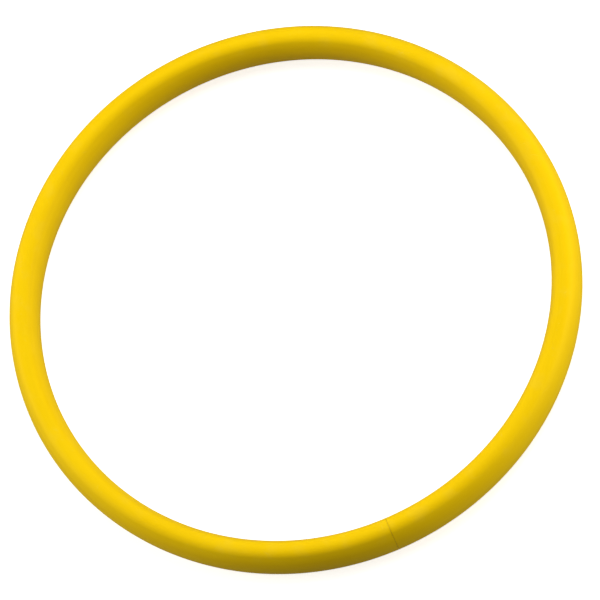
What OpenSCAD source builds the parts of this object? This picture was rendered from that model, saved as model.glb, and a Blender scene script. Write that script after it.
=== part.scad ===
// Juggling ring: a plastic tube bent into a hoop, its two ends butted over a hidden
// splice plug and held by a blind rivet on either side of the joint.
// The ring lies flat, its axis along Z and its centre at the origin; the joint is at -Y.

/* [Ring] */
// Outside diameter of the ring
ring_od = 320; // [240:1:420]
// Depth of the tube's oval section, across the plane of the ring
tube_radial = 16.7; // [13.4:0.1:20]
// Height of the tube's oval section, along the axis of the ring
tube_axial = 29; // [22:0.1:36]
// Radius of the two rounded edges of the section, above and below
edge_radius = 5.8; // [5.2:0.1:6.4]
// Wall of the tube
wall = 1.8; // [1.4:0.1:2.4]

/* [Butt joint] */
// Gap between the two ends of the tube
joint_gap = 0.1; // [0.1:0.05:1]

/* [Splice plug] */
// Length of the plug, along the middle of the tube
plug_length = 48; // [40:1:80]
// Wall of the plug
plug_wall = 1.8; // [1.2:0.1:2.2]
// Web that closes the plug at its middle
web = 2; // [1:0.1:4]
// Clearance between the plug's body and the tube's bore, all round
body_clearance = 0.4; // [0.2:0.05:0.6]
// Clearance between the plug's ribs and the tube's bore, all round
rib_clearance = 0.05; // [0.02:0.01:0.15]
// Width of each rib, along the tube
rib_width = 1.6; // [0.8:0.1:3]
// Distance from each rivet to the rib on either side of it
rib_distance = 6.5; // [5:0.1:8]
// Length of the narrower nose that leads each end of the plug into the tube
nose_length = 3; // [1:0.1:5]
// How much narrower the nose is than the body, all round
nose_step = 0.5; // [0.2:0.05:0.7]

/* [Rivets] */
// Distance of each rivet from the joint, along the middle of the tube
rivet_distance = 11; // [9:0.1:14]
// Diameter of the rivet's shank
shank_d = 3.2; // [2.4:0.1:4]
// Radial clearance of the shank in its holes
hole_clearance = 0.05; // [0.02:0.01:0.2]
// Diameter of the rivet's head
head_d = 6.4; // [5:0.1:8]
// Height of the domed head
head_h = 1; // [0.6:0.05:1.2]
// Height of the rim below the dome
rim_h = 0.25; // [0.1:0.05:0.5]
// Depth of the flat seat that sinks the head into the tube
seat_depth = 0.8; // [0.6:0.05:1.1]
// Radial clearance of the head in its seat
seat_clearance = 0.15; // [0.05:0.05:0.5]
// Diameter of the bulged blind end
tail_d = 4.6; // [4.4:0.1:5.2]
// Height of the bulged blind end
tail_h = 1.9; // [1.2:0.1:2.4]
// Chamfer round the far side of the blind end
tail_chamfer = 0.5; // [0.1:0.1:0.7]

/* [Rivet mandrels] */
// Diameter of the mandrel's stem
stem_d = 1.8; // [1.2:0.1:2]
// Radial clearance of the stem in the rivet
stem_clearance = 0.02; // [0.01:0.01:0.1]
// Diameter of the mandrel's head
mandrel_head_d = 2.8; // [2.2:0.1:3.2]
// Height of the mandrel's head
mandrel_head_h = 1.2; // [0.6:0.1:1.6]
// Depth of the snapped-off stem below the top of the rivet's head
snap_depth = 0.3; // [0:0.05:0.6]

/* [Hidden] */
$fn = 120;

// Angle of the joint about the ring's axis
joint_angle = -90;
// Half sizes of the tube's section
half_radial = tube_radial / 2;
half_axial = tube_axial / 2;
// Radius and length of the tube's centre line
centre_r = ring_od / 2 - half_radial;
centre_length = 2 * PI * centre_r;
// The oval has four arcs: its edges turn about points this far above and below the middle
edge_centre = half_axial - edge_radius;
// The sides are arcs that would just touch circles this much inside the edges, so that a
// side and an edge cross cleanly, at an angle too small to see
overrun = 0.01;
touch_radius = edge_radius - overrun;
side_radius = (half_radial * half_radial + edge_centre * edge_centre - touch_radius * touch_radius)
    / (2 * (half_radial - touch_radius));
side_centre = side_radius - half_radial;
// Height at which a side meets an edge, as a share of the side's radius
meeting_share = edge_centre / (side_radius - touch_radius);

// Insets from the outside of the tube
body_inset = wall + body_clearance;
rib_inset = wall + rib_clearance;
nose_inset = body_inset + nose_step;
core_inset = body_inset + plug_wall;

// The blind end is flat and the plug's inside is hollow, so it stands off by this at its middle
tail_drop = arc_drop(side_radius - core_inset, tail_d / 2);
// Distance from the head's seat to the blind end
grip = core_inset - seat_depth + tail_drop;
// How far a cut runs past the face that it opens
past = 1;

// Depth of an arc of radius r over half the chord
function arc_drop(r, half_chord) = r - sqrt(r * r - half_chord * half_chord);

// Angle of a distance along the tube's centre line
function turn(distance) = distance / centre_length * 360;

// The tube's oval section, moved in by inset all round
module oval(inset) {
    edge_r = edge_radius - inset;
    side_r = side_radius - inset;
    for (side = [-1, 1])
        translate([0, side * edge_centre])
            circle(r = edge_r);
    intersection() {
        intersection_for (side = [-1, 1])
            translate([side * side_centre, 0])
                circle(r = side_r);
        square([tube_axial, 2 * side_r * meeting_share], center = true);
    }
}

// Carries a section along the centre line, between two distances from the joint
module along(from, to) {
    rotate([0, 0, joint_angle + turn(from)])
        rotate_extrude(angle = turn(to - from))
            translate([centre_r, 0])
                children();
}

// Places its children at each rivet: Z runs from the head's seat into the tube
module at_rivets() {
    for (side = [-1, 1])
        rotate([0, 0, joint_angle + side * turn(rivet_distance)])
            translate([ring_od / 2 - tube_radial + seat_depth, 0, 0])
                rotate([0, 90, 0])
                    children();
}

// Clearance hole for a shank, from inside the ring to the middle of the tube
module shank_hole() {
    translate([0, 0, -seat_depth - past])
        cylinder(d = shank_d + 2 * hole_clearance, h = half_radial + past);
}

// Flat seat for a rivet's head
module head_seat() {
    translate([0, 0, -seat_depth - past])
        cylinder(d = head_d + 2 * seat_clearance, h = seat_depth + past);
}

// One length of tube, bent to a full turn
module hoop_tube() {
    color([0.98, 0.8, 0.03])
        difference() {
            along(joint_gap / 2, centre_length - joint_gap / 2)
                difference() {
                    oval(0);
                    oval(wall);
                }
            at_rivets() {
                shank_hole();
                head_seat();
            }
        }
}

// Curved moulding inside both ends of the tube, hollow on each side of its web
module splice_plug() {
    color([0.93, 0.74, 0.04])
        difference() {
            union() {
                along(-plug_length / 2, plug_length / 2)
                    oval(nose_inset);
                along(nose_length - plug_length / 2, plug_length / 2 - nose_length)
                    oval(body_inset);
                for (rivet = [-1, 1], rib = [-1, 1])
                    plug_rib(rivet * rivet_distance + rib * rib_distance);
            }
            along(web / 2, plug_length / 2 + past)
                oval(core_inset);
            along(-plug_length / 2 - past, -web / 2)
                oval(core_inset);
            at_rivets()
                shank_hole();
        }
}

// Raised band that grips the bore
module plug_rib(distance) {
    along(distance - rib_width / 2, distance + rib_width / 2)
        oval(rib_inset);
}

// Set blind rivets: domed head, shank and bulged blind end, with the stem's hole through them
module rivet_bodies() {
    color([0.78, 0.79, 0.8])
        at_rivets()
            difference() {
                union() {
                    rivet_head();
                    cylinder(d = shank_d, h = grip + tail_h / 2);
                    translate([0, 0, grip])
                        cylinder(d = tail_d, h = tail_h - tail_chamfer);
                    translate([0, 0, grip + tail_h - tail_chamfer])
                        cylinder(d1 = tail_d, d2 = tail_d - 2 * tail_chamfer, h = tail_chamfer);
                }
                translate([0, 0, -head_h - past])
                    cylinder(d = stem_d + 2 * stem_clearance, h = head_h + grip + tail_h + 2 * past);
            }
}

// Shallow dome on a thin rim
module rivet_head() {
    dome_h = head_h - rim_h;
    dome_r = (head_d * head_d / 4 + dome_h * dome_h) / (2 * dome_h);
    translate([0, 0, -rim_h])
        cylinder(d = head_d, h = rim_h);
    intersection() {
        translate([0, 0, dome_r - head_h])
            sphere(r = dome_r);
        translate([0, 0, -head_h])
            cylinder(d = head_d, h = dome_h);
    }
}

// Snapped mandrels, left inside the rivets when they are pulled
module rivet_mandrels() {
    color([0.45, 0.46, 0.48])
        at_rivets() {
            translate([0, 0, snap_depth - head_h])
                cylinder(d = stem_d, h = head_h - snap_depth + grip + tail_h);
            translate([0, 0, grip + tail_h])
                cylinder(d = mandrel_head_d, h = mandrel_head_h);
        }
}

hoop_tube();
splice_plug();
rivet_bodies();
rivet_mandrels();
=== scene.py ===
import math
import bpy
from mathutils import Matrix, Vector


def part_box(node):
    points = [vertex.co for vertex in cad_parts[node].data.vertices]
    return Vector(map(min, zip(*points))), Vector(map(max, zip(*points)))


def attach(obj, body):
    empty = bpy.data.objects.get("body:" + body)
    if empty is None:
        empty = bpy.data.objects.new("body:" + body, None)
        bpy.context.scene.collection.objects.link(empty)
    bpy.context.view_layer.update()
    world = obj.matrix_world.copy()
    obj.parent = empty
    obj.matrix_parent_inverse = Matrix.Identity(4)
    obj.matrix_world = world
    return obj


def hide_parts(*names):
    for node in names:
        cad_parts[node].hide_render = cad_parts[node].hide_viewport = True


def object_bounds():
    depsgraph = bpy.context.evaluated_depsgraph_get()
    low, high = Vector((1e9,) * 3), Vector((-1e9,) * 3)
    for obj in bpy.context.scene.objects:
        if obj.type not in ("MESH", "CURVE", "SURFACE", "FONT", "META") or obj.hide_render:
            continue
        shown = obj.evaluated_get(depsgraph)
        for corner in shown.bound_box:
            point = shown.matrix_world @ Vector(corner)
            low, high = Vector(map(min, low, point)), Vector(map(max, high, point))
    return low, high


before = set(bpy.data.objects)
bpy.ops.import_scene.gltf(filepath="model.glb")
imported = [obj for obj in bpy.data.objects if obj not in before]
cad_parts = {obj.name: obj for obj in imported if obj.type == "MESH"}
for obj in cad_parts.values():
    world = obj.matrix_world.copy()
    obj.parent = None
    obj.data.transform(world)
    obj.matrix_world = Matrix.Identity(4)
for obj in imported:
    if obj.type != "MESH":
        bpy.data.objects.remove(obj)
cad_low, cad_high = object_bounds()
bpy.ops.object.select_all(action="DESELECT")

# ---- Camera
# It looks down on the flat ring through a long lens, rolled so that the ring's far side rises to
# the upper right of the picture. It stands a little round from the joint, because from straight in
# front it would see through the gap.
camera_height = math.radians(66.45)
camera_turn = math.radians(4)
camera_roll = math.radians(26.86)
camera_distance = 7.58
picture_width = 0.33007
aim_right = 0.0027
aim_up = -0.00099
sensor_width = 36

level_right = Vector((math.cos(camera_turn), math.sin(camera_turn), 0))
level_back = Vector((math.sin(camera_turn), -math.cos(camera_turn), 0))
camera_back = math.cos(camera_height) * level_back + Vector((0, 0, math.sin(camera_height)))
level_up = camera_back.cross(level_right)
camera_right = math.cos(camera_roll) * level_right - math.sin(camera_roll) * level_up
camera_up = camera_back.cross(camera_right)

bpy.ops.object.camera_add()
camera = bpy.context.object
camera.data.sensor_width = sensor_width
camera.data.lens = sensor_width * camera_distance / picture_width
camera.data.clip_end = 2 * camera_distance
camera.matrix_world = Matrix((camera_right, camera_up, camera_back)).transposed().to_4x4()
camera.location = camera_distance * camera_back + aim_right * camera_right + aim_up * camera_up
bpy.context.scene.camera = camera
bpy.context.scene.view_settings.view_transform = "Standard"

# ---- Floor
# A plain near-white sweep that the ring lies on. It shows only to the camera, so that it throws no
# light back up on to the ring, and it glows a little, which leaves the shadow on it faint. From
# below it is clear, so that the underside of the ring can be looked at.
floor_size = 12
floor_glow = 0.7
floor_white = (0.9, 0.9, 0.9, 1)
white = (1, 1, 1, 1)

bpy.ops.mesh.primitive_plane_add(size=floor_size, location=(0, 0, cad_low.z))
floor = bpy.context.object
floor.name = "floor"
floor.visible_diffuse = False
floor.visible_glossy = False
floor.visible_shadow = False


class Pattern:
    """One output in a material. Sums of patterns and numbers add their own Math nodes."""

    def __init__(self, tree, socket=None):
        self.tree = tree
        self.socket = socket

    def plug(self, made, sockets):
        for name, value in sockets.items():
            if isinstance(value, Pattern):
                self.tree.links.new(value.socket, made.inputs[name])
            else:
                made.inputs[name].default_value = value

    def node(self, kind, settings, sockets, result=0):
        made = self.tree.nodes.new(kind)
        for setting, value in settings.items():
            setattr(made, setting, value)
        self.plug(made, sockets)
        return Pattern(self.tree, made.outputs[result])

    def math(self, operation, *values):
        return self.node("ShaderNodeMath", {"operation": operation}, dict(enumerate(values)))

    def __add__(self, other):
        return self.math("ADD", self, other)

    def __radd__(self, other):
        return self.math("ADD", other, self)

    def __sub__(self, other):
        return self.math("SUBTRACT", self, other)

    def __rsub__(self, other):
        return self.math("SUBTRACT", other, self)

    def __mul__(self, other):
        return self.math("MULTIPLY", self, other)

    def __rmul__(self, other):
        return self.math("MULTIPLY", other, self)

    def __abs__(self):
        return self.math("ABSOLUTE", self)

    def root(self):
        return self.math("SQRT", self)

    def rise(self, low, high):
        """0 below low, 1 above high, and smooth between them"""
        return self.node("ShaderNodeMapRange", {"interpolation_type": "SMOOTHSTEP"},
                         {"Value": self, "From Min": low, "From Max": high})

    def mix(self, first, second):
        """One colour where the pattern is 0 and another where it is 1"""
        return self.node("ShaderNodeMix", {"data_type": "RGBA"}, {0: self, 6: first, 7: second}, 2)


def new_finish(name, constants):
    """A material with its plain settings: its tree as a Pattern, its surface node and itself"""
    made = bpy.data.materials.new(name)
    made.use_nodes = True
    surface = made.node_tree.nodes["Principled BSDF"]
    tree = Pattern(made.node_tree)
    tree.plug(surface, constants)
    return tree, surface, made


tree, surface, floor_paint = new_finish("floor_paint", {
    "Base Color": floor_white, "Roughness": 0.9, "Specular IOR Level": 0,
    "Emission Color": white, "Emission Strength": floor_glow})
from_below = tree.node("ShaderNodeNewGeometry", {}, {}, "Backfacing")
paint = Pattern(tree.tree, surface.outputs["BSDF"])
clear = tree.node("ShaderNodeBsdfTransparent", {}, {})
floor_surface = tree.node("ShaderNodeMixShader", {}, {0: from_below, 1: paint, 2: clear})
tree.plug(tree.tree.nodes["Material Output"], {"Surface": floor_surface})
floor.data.materials.append(floor_paint)

# ---- Studio light
# One large softbox stands over the top of the picture, in front of the ring, and one on each side
# fills it. The room around them is an even, dim light, with a white backdrop.
softbox_distance = 2
softbox_size = 1.6
room_light = 0.18


def softbox(name, right, up, towards_camera, power):
    """A square softbox that faces the ring, placed by the directions of the picture"""
    place = (right * camera_right + up * camera_up + towards_camera * camera_back).normalized()
    facing = place.to_track_quat("Z", "Y").to_euler()
    bpy.ops.object.light_add(type="AREA", location=softbox_distance * place, rotation=facing)
    lamp = bpy.context.object
    lamp.name = name
    lamp.data.size = softbox_size
    lamp.data.energy = power
    lamp.visible_camera = False


softbox("key_softbox", 0, 0.7, 0.7, 28)
softbox("left_softbox", -1, 0, 0.2, 26)
softbox("right_softbox", 1, 0.2, 0.3, 25)

room = bpy.data.worlds.new("room")
bpy.context.scene.world = room
room.use_nodes = True
room_tree = Pattern(room.node_tree)
room_nodes = room.node_tree.nodes
room_tree.plug(room_nodes["Background"], {"Color": white, "Strength": room_light})
even_light = Pattern(room.node_tree, room_nodes["Background"].outputs["Background"])
backdrop = room_tree.node("ShaderNodeBackground", {}, {"Color": white, "Strength": 1})
seen_directly = room_tree.node("ShaderNodeLightPath", {}, {}, "Is Camera Ray")
surroundings = room_tree.node(
    "ShaderNodeMixShader", {}, {0: seen_directly, 1: even_light, 2: backdrop})
room_tree.plug(room_nodes["World Output"], {"Surface": surroundings})

# ---- Hoop tube
# The hoop is one length of extruded polyethylene tube, oval in section, bent to a full turn until
# its square-cut ends butt together at -Y. On its inner face, two holes with flat seats milled
# round them take the rivets.
tube_low, tube_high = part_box("hoop_tube")
outer_radius = tube_high.x
tube_height = tube_high.z - tube_low.z
tube_depth = 0.0167
edge_radius = 0.0058
wall = 0.0018
joint_gap = 0.0001
cut_bevel = 0.00008
rivet_distance = 0.011
hole_radius = 0.00165
seat_radius = 0.00335
seat_depth = 0.0008
centre_radius = outer_radius - tube_depth / 2
seat_place = outer_radius - tube_depth + seat_depth
rivet_turn = rivet_distance / centre_radius
half_gap_turn = joint_gap / 2 / centre_radius

# Numbers of flat faces that the curves are made of, and the limits used in finishing the meshes
side_steps = 14
edge_steps = 22
hoop_steps = 360
round_steps = 64
starting_size = 0.001
merge_distance = 1e-6
sharp_corner = math.radians(60)

# The oval is four arcs: two small ones over the edges and two large ones along the sides
edge_centre = tube_height / 2 - edge_radius
side_radius = (((tube_depth / 2) ** 2 + edge_centre ** 2 - edge_radius ** 2)
               / (tube_depth - 2 * edge_radius))
side_centre = side_radius - tube_depth / 2
side_half = math.asin(edge_centre / (side_radius - edge_radius))


def point(name, place):
    """A new piece that is one point so far, open in edit mode"""
    bpy.ops.object.select_all(action="DESELECT")
    bpy.ops.mesh.primitive_plane_add(size=starting_size)
    piece = bpy.context.object
    piece.name = name
    piece.data.name = name
    bpy.ops.object.mode_set(mode="EDIT")
    bpy.ops.mesh.merge(type="CENTER")
    bpy.ops.transform.translate(value=place)
    return piece


def section(name, turn, inset):
    """The tube's oval outline, moved in by inset all round, at an angle on from the joint"""
    outward = Vector((math.sin(turn), -math.cos(turn), 0))
    lengthways = Vector((math.cos(turn), math.sin(turn), 0))
    inner_side = outward * (centre_radius - side_centre)
    outer_side = outward * (centre_radius + side_centre)
    upper_edge = outward * centre_radius + Vector((0, 0, edge_centre))
    lower_edge = outward * centre_radius - Vector((0, 0, edge_centre))
    side_turn = 2 * side_half
    edge_turn = math.pi - side_turn
    side_reach = (side_radius - inset) * math.cos(side_half) - side_centre
    side_drop = (side_radius - inset) * math.sin(side_half)
    piece = point(name, outward * (centre_radius + side_reach) - Vector((0, 0, side_drop)))
    for middle, angle, steps in [
            (inner_side, side_turn, side_steps), (upper_edge, edge_turn, edge_steps),
            (outer_side, side_turn, side_steps), (lower_edge, edge_turn, edge_steps)]:
        bpy.ops.mesh.spin(steps=steps, angle=angle, center=middle, axis=lengthways)
    bpy.ops.mesh.select_all(action="SELECT")
    bpy.ops.mesh.remove_doubles(threshold=merge_distance)
    return piece


def close_skin():
    """Merges what meets and turns every face outwards"""
    bpy.ops.mesh.select_all(action="SELECT")
    bpy.ops.mesh.remove_doubles(threshold=merge_distance)
    bpy.ops.mesh.normals_make_consistent(inside=False)
    bpy.ops.object.mode_set(mode="OBJECT")


def apply_modifier(piece, kind, settings):
    """Adds one modifier with its settings, and applies it"""
    bpy.context.view_layer.objects.active = piece
    modifier = piece.modifiers.new(kind, kind)
    for setting, value in settings.items():
        setattr(modifier, setting, value)
    bpy.ops.object.modifier_apply(modifier=modifier.name)


def combine(piece, operation, others):
    """Joins other shapes to a piece, or cuts them away"""
    for other in others:
        apply_modifier(piece, "BOOLEAN", {
            "operation": operation, "object": other, "solver": "EXACT"})
        bpy.data.objects.remove(other)


def turned(name, outline):
    """A round piece on a rivet's axis, from (distance beyond the head's seat, radius) points"""
    places = [Vector((0, -seat_place - distance, radius)) for distance, radius in outline]
    piece = point(name, places[0])
    for start, end in zip(places, places[1:]):
        bpy.ops.mesh.extrude_region_move(TRANSFORM_OT_translate={"value": end - start})
    bpy.ops.mesh.select_all(action="SELECT")
    bpy.ops.mesh.spin(
        steps=round_steps, angle=2 * math.pi, center=(0, 0, 0), axis=(0, 1, 0))
    close_skin()
    return piece


def turn_piece(piece, angle):
    """Turns a piece's mesh about the axis of the ring"""
    bpy.ops.object.select_all(action="DESELECT")
    piece.select_set(True)
    bpy.context.view_layer.objects.active = piece
    bpy.ops.object.mode_set(mode="EDIT")
    bpy.ops.mesh.select_all(action="SELECT")
    bpy.ops.transform.rotate(value=angle, orient_axis="Z", center_override=(0, 0, 0))
    bpy.ops.object.mode_set(mode="OBJECT")


def pair(piece):
    """Sets a piece and a copy of it at the two rivets, one on either side of the joint"""
    bpy.ops.object.duplicate()
    copy = bpy.context.object
    turn_piece(piece, -rivet_turn)
    turn_piece(copy, rivet_turn)
    return piece, copy


def smooth(piece, degrees):
    """Shades a piece smooth, except where its faces meet at more than the angle"""
    bpy.ops.object.select_all(action="DESELECT")
    piece.select_set(True)
    bpy.context.view_layer.objects.active = piece
    bpy.ops.object.shade_smooth_by_angle(angle=math.radians(degrees))


hoop = section("hoop_tube_skin", half_gap_turn, 0)
full_turn = 2 * math.pi - 2 * half_gap_turn
bpy.ops.mesh.spin(steps=hoop_steps, angle=full_turn, center=(0, 0, 0), axis=(0, 0, -1))
close_skin()
apply_modifier(hoop, "SOLIDIFY", {"thickness": wall, "offset": -1})
apply_modifier(hoop, "BEVEL", {
    "width": cut_bevel, "segments": 1, "limit_method": "ANGLE", "angle_limit": sharp_corner})

# The cutters run this far to either side of a seat, from inside the ring to the tube's hollow
reach = tube_depth / 2
cutters = pair(turned("seat_cutter", [
    (-reach, 0), (-reach, seat_radius), (0, seat_radius), (0, hole_radius),
    (reach, hole_radius), (reach, 0)]))
combine(hoop, "DIFFERENCE", cutters)
smooth(hoop, 20)


def cloud(tree, place, scale, detail):
    """Soft noise, near 0.5 on average"""
    return tree.node("ShaderNodeTexNoise", {}, {"Vector": place, "Scale": scale, "Detail": detail})


def parts(tree, place):
    """The three parts of a place"""
    return [tree.node("ShaderNodeSeparateXYZ", {}, {"Vector": place}, axis) for axis in "XYZ"]


def joined(tree, x, y, z):
    """A place from its three parts"""
    return tree.node("ShaderNodeCombineXYZ", {}, {"X": x, "Y": y, "Z": z})


def bump(tree, height, distance, normal=None):
    """A relief, where a height of 1 stands out by the distance"""
    sockets = {"Height": height, "Distance": distance, "Strength": 1}
    if normal:
        sockets["Normal"] = normal
    return tree.node("ShaderNodeBump", {}, sockets)


yellow = (0.98, 0.64, 0.003, 1)
deep_yellow = (0.94, 0.60, 0.002, 1)
pale_yellow = (0.98, 0.70, 0.01, 1)
scuffed_yellow = (0.95, 0.66, 0.04, 1)
grime = (0.42, 0.27, 0.02, 1)

tree, surface, yellow_tube = new_finish("yellow_polyethylene", {
    "IOR": 1.5, "Specular IOR Level": 0.15, "Specular Tint": (1, 0.75, 0.05, 1)})
place = tree.node("ShaderNodeTexCoord", {}, {}, "Object")
x, y, z = parts(tree, place)
along = tree.math("ARCTAN2", x, y) * centre_radius
beyond_middle = (x * x + y * y).root() - centre_radius
from_joint = math.pi * centre_radius - abs(along)

# The die that the tube is drawn through leaves fine lines along its whole length, and broader bands.
# Scales are in waves to the metre, across the tube and along it.
line_scale = 1800
line_scale_along = 6
band_scale = 260
band_scale_along = 2
cloud_scale = 28
skin_scale = 1500
lines = cloud(tree, joined(
    tree, beyond_middle * line_scale, z * line_scale, along * line_scale_along), 1, 3)
bands = cloud(tree, joined(
    tree, beyond_middle * band_scale, z * band_scale, along * band_scale_along), 1, 2)
clouds = cloud(tree, place, cloud_scale, 3)
skin = cloud(tree, place, skin_scale, 2)

# Rubs and short scratches lie mostly on the two rounded edges, where the ring lands
wear_start = 0.005
wear_full = 0.0143
rub_scale = 90
worn_scale = 60
edge_wear = abs(z).rise(wear_start, wear_full)
slant = joined(tree, (along + z * 3) * 45, (z * 3 - along) * 900, beyond_middle * 300)
cross = joined(tree, (along - z * 2) * 50, (z * 2 + along) * 1100, beyond_middle * 300)
scratches = cloud(tree, slant, 1, 1).rise(0.68, 0.76) + cloud(tree, cross, 1, 1).rise(0.70, 0.78)
rubbed = cloud(tree, place, rub_scale, 4).rise(0.52, 0.72) * edge_wear
worn = scratches * (0.25 + 0.75 * edge_wear) * cloud(tree, place, worn_scale, 2).rise(0.42, 0.6)

# The milled seats are a little paler, with the cutter's rings, and grime sits at the joint
seat_level = seat_depth - tube_depth / 2
seat_edge = 0.00005
seat_fade = 0.0001
cutter_rings = 60000
dirt_start = 0.0001
dirt_end = 0.0005
seat_side = (from_joint - rivet_distance) * (seat_place / centre_radius)
from_rivet = (seat_side * seat_side + z * z).root()
within_seat = 1 - from_rivet.rise(seat_radius, seat_radius + seat_edge)
on_seat = within_seat * (1 - beyond_middle.rise(seat_level, seat_level + seat_fade))
milled = tree.math("SINE", from_rivet * cutter_rings)
dirty = (1 - from_joint.rise(dirt_start, dirt_end)) * (0.3 + 0.7 * clouds)

tube_colour = (clouds * 0.6 + bands * 0.4).rise(0.3, 0.7).mix(deep_yellow, yellow)
tube_colour = (lines.rise(0.5, 0.8) * 0.25).mix(tube_colour, pale_yellow)
tube_colour = (rubbed * 0.2 + worn * 0.5).mix(tube_colour, scuffed_yellow)
tube_colour = (on_seat * 0.6).mix(tube_colour, pale_yellow)
tube_colour = (dirty * 0.3).mix(tube_colour, grime)
line_depth = 0.00002
skin_depth = 0.000008
scratch_depth = 0.00002
milled_depth = 0.000006
tube_relief = bump(tree, lines, line_depth)
tube_relief = bump(tree, skin, skin_depth, tube_relief)
tube_relief = bump(tree, 1 - worn, scratch_depth, tube_relief)
tube_relief = bump(tree, milled * on_seat, milled_depth, tube_relief)
tree.plug(surface, {
    "Base Color": tube_colour,
    "Roughness": 0.42 + 0.1 * clouds + 0.06 * lines + 0.15 * rubbed + 0.15 * worn + 0.1 * on_seat,
    "Normal": tube_relief})
hoop.data.materials.clear()
hoop.data.materials.append(yellow_tube)
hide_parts("hoop_tube")
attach(hoop, "root")

# ---- Splice plug
# A short curved plug inside both ends of the tube, moulded in the tube's own yellow. Its raised
# bands grip the bore and a narrower nose leads it in at each end. The rivets pass through it on
# either side of the web that closes its middle.
plug_length = 0.048
plug_wall = 0.0018
web = 0.002
body_clearance = 0.0004
rib_clearance = 0.00005
body_inset = wall + body_clearance
rib_inset = wall + rib_clearance
rib_width = 0.0016
rib_distance = 0.0065
nose_length = 0.003
nose_step = 0.0005
nose_inset = body_inset + nose_step
mould_round = 0.00015
round_segments = 3
run_step = 0.00117


def run(name, start, end, inset, rounding):
    """A solid stretch of the oval, between two distances along the tube from the joint"""
    length = end - start
    piece = section(name, start / centre_radius, inset)
    bpy.ops.mesh.edge_face_add()
    steps = max(2, round(length / run_step))
    bpy.ops.mesh.spin(steps=steps, angle=length / centre_radius, center=(0, 0, 0), axis=(0, 0, -1))
    close_skin()
    if rounding:
        apply_modifier(piece, "BEVEL", {
            "width": rounding, "segments": round_segments, "limit_method": "ANGLE",
            "angle_limit": sharp_corner})
    return piece


half_plug = plug_length / 2
plug = run("splice_plug_moulding", -half_plug, half_plug, nose_inset, mould_round)
ribs = [run("band", middle - rib_width / 2, middle + rib_width / 2, rib_inset, mould_round)
        for rivet_side in (-rivet_distance, rivet_distance)
        for middle in (rivet_side - rib_distance, rivet_side + rib_distance)]
body = run("body", nose_length - half_plug, half_plug - nose_length, body_inset, mould_round)
combine(plug, "UNION", [body, *ribs])
combine(plug, "DIFFERENCE", [
    run("pocket", web / 2, half_plug + web, body_inset + plug_wall, 0),
    run("pocket", -half_plug - web, -web / 2, body_inset + plug_wall, 0)])
combine(plug, "DIFFERENCE", pair(turned("hole_cutter", [
    (-reach, 0), (-reach, hole_radius), (reach, hole_radius), (reach, 0)])))
smooth(plug, 25)

plug_yellow = (0.88, 0.54, 0.003, 1)
plug_shade = (0.78, 0.45, 0.002, 1)
tree, surface, plug_plastic = new_finish("moulded_yellow", {
    "IOR": 1.5, "Specular IOR Level": 0.3, "Specular Tint": (1, 0.85, 0.4, 1)})
place = tree.node("ShaderNodeTexCoord", {}, {}, "Object")
x, y, z = parts(tree, place)
flow_scale = 220
texture_scale = 2600
texture_depth = 0.000015
parting_edge = 0.00004
parting_end = 0.00012
parting_height = 0.00004
flow = cloud(tree, place, flow_scale, 4)
texture = cloud(tree, place, texture_scale, 2)
parting_line = 1 - abs(z).rise(parting_edge, parting_end)
plug_colour = flow.rise(0.35, 0.65).mix(plug_shade, plug_yellow)
plug_relief = bump(tree, texture, texture_depth)
plug_relief = bump(tree, parting_line, parting_height, plug_relief)
tree.plug(surface, {
    "Base Color": plug_colour, "Roughness": 0.4 + 0.2 * texture, "Normal": plug_relief})
plug.data.materials.clear()
plug.data.materials.append(plug_plastic)
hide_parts("splice_plug")
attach(plug, "root")

# ---- Rivet bodies
# Two blind rivets of soft aluminium, pushed in from inside the ring and set. Each has a shallow
# domed head that is pressed down on its seat, a shank, and a blind end bulged inside the plug.
head_radius = 0.0032
head_height = 0.001
rim_height = 0.00025
rim_round = 0.0001
shank_radius = 0.0016
bore_radius = 0.00092
grip = 0.00335
tail_radius = 0.0023
tail_height = 0.0019
dome_height = head_height - rim_height
dome_radius = (head_radius ** 2 + dome_height ** 2) / (2 * dome_height)
head_steps = 12
tail_steps = 16

# Points run from the mouth of the bore over the dome, round the rim, down the shank, over the
# bulge and back through the bore
dome = []
for step in range(head_steps + 1):
    radius = bore_radius + (head_radius - rim_round - bore_radius) * step / head_steps
    dome.append((dome_radius - head_height - math.sqrt(dome_radius ** 2 - radius ** 2), radius))
bulge = []
for step in range(tail_steps + 1):
    share = step / tail_steps
    swell = math.sin(math.pi * (0.06 + 0.88 * share)) ** 0.5
    bulge.append((grip + tail_height * share, shank_radius + (tail_radius - shank_radius) * swell))
rivet_outline = [
    (dome[0][0] + rim_round, bore_radius), *dome,
    (-rim_height, head_radius), (-rim_round, head_radius), (0, head_radius - rim_round),
    (0, shank_radius), (grip, shank_radius), *bulge,
    (grip + tail_height, bore_radius)]
rivet_outline.append(rivet_outline[0])
rivets = pair(turned("rivet_body", rivet_outline))

aluminium = (0.80, 0.81, 0.83, 1)
dull_aluminium = (0.62, 0.63, 0.65, 1)
tree, surface, rivet_aluminium = new_finish("rivet_aluminium", {"Metallic": 1})
place = tree.node("ShaderNodeTexCoord", {}, {}, "Object")
x, y, z = parts(tree, place)
beyond_seat = (x * x + y * y).root() - seat_place
side = abs(tree.math("ARCTAN2", x, 0 - y)) * seat_place - rivet_turn * seat_place
from_axis = (side * side + z * z).root()
tarnish_scale = 900
mark_scale = 9000
mark_scale_along = 4000
ring_inside = 0.0024
ring_outside = 0.0026
ring_edge = 0.00005
mark_depth = 0.000006
ring_depth = 0.00002
tarnish = cloud(tree, place, tarnish_scale, 3)
press_marks = cloud(tree, joined(
    tree, from_axis * mark_scale, beyond_seat * mark_scale_along, 0), 1, 2)
pressed_ring = (from_axis.rise(ring_inside, ring_inside + ring_edge)
                - from_axis.rise(ring_outside, ring_outside + ring_edge))
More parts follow.
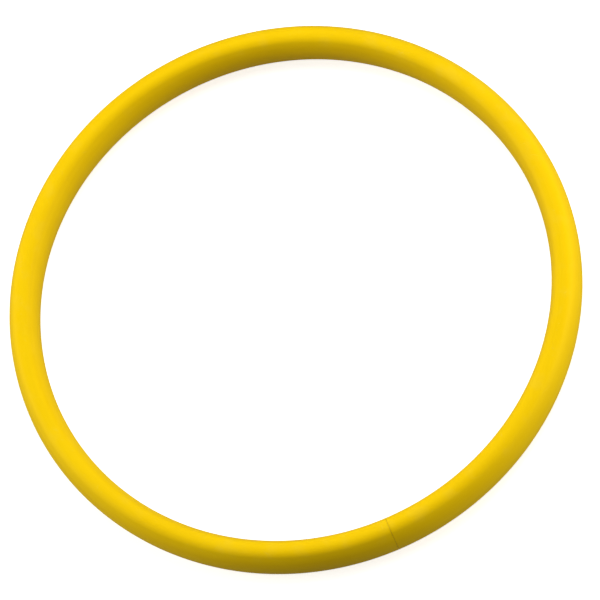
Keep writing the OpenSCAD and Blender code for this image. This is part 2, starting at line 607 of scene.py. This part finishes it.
rivet_colour = (tarnish.rise(0.35, 0.7) * 0.6 + pressed_ring * 0.3).mix(aluminium, dull_aluminium)
rivet_relief = bump(tree, press_marks, mark_depth)
rivet_relief = bump(tree, 1 - pressed_ring, ring_depth, rivet_relief)
tree.plug(surface, {
    "Base Color": rivet_colour, "Roughness": 0.28 + 0.2 * tarnish + 0.1 * press_marks,
    "Normal": rivet_relief})
for rivet, end in zip(rivets, ["one", "two"]):
    rivet.name = "rivet_body_" + end
    rivet.data.name = rivet.name
    rivet.data.materials.append(rivet_aluminium)
    smooth(rivet, 35)
    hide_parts("rivet_bodies")
    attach(rivet, "root")

# ---- Rivet mandrels
# The steel mandrels that pulled the rivets tight. Their stems have snapped off just below the top
# of the rivet's head, at the thin neck made for it, and their heads hold the blind ends open.
stem_radius = 0.0009
neck_radius = 0.00068
snap_depth = 0.0003
mandrel_head_radius = 0.0014
mandrel_head_height = 0.0012
mandrel_round = 0.0003
corner_steps = 6
snap = snap_depth - head_height
tail_end = grip + tail_height

# Points run over the rough snapped face and its thin neck, down the stem and round the head
mandrel_outline = [
    (snap + 0.00005, 0), (snap + 0.00001, 0.00022), (snap, 0.0004), (snap + 0.00004, 0.00055),
    (snap + 0.00012, neck_radius), (snap + 0.0003, neck_radius + 0.00008),
    (snap + 0.0005, stem_radius), (tail_end, stem_radius),
    (tail_end, mandrel_head_radius - 0.0001),
    (tail_end + 0.0001, mandrel_head_radius)]
for step in range(corner_steps + 1):
    angle = math.pi / 2 * step / corner_steps
    mandrel_outline.append((tail_end + mandrel_head_height - mandrel_round * (1 - math.sin(angle)),
                            mandrel_head_radius - mandrel_round * (1 - math.cos(angle))))
mandrel_outline.append((tail_end + mandrel_head_height, 0))
mandrels = pair(turned("rivet_mandrel", mandrel_outline))

steel = (0.56, 0.56, 0.55, 1)
dark_steel = (0.30, 0.30, 0.30, 1)
tree, surface, mandrel_steel = new_finish("mandrel_steel", {"Metallic": 1})
place = tree.node("ShaderNodeTexCoord", {}, {}, "Object")
x, y, z = parts(tree, place)
beyond_seat = (x * x + y * y).root() - seat_place
snap_edge = 0.0001
grain_scale = 9000
drawn_scale = 8000
drawn_scale_along = 400
grain_depth = 0.00006
drawn_depth = 0.000005
at_snap = 1 - beyond_seat.rise(snap + snap_edge, snap + 2 * snap_edge)
grains = cloud(tree, place, grain_scale, 3)
drawn = cloud(tree, joined(tree, beyond_seat * drawn_scale_along, z * drawn_scale, 0), 1, 2)
mandrel_colour = (grains * 0.5 + at_snap * 0.5).mix(steel, dark_steel)
mandrel_relief = bump(tree, grains * at_snap, grain_depth)
mandrel_relief = bump(tree, drawn, drawn_depth, mandrel_relief)
tree.plug(surface, {
    "Base Color": mandrel_colour, "Roughness": 0.3 + 0.1 * drawn + 0.3 * at_snap,
    "Normal": mandrel_relief})
for mandrel, end in zip(mandrels, ["one", "two"]):
    mandrel.name = "rivet_mandrel_" + end
    mandrel.data.name = mandrel.name
    mandrel.data.materials.append(mandrel_steel)
    smooth(mandrel, 35)
    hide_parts("rivet_mandrels")
    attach(mandrel, "root")
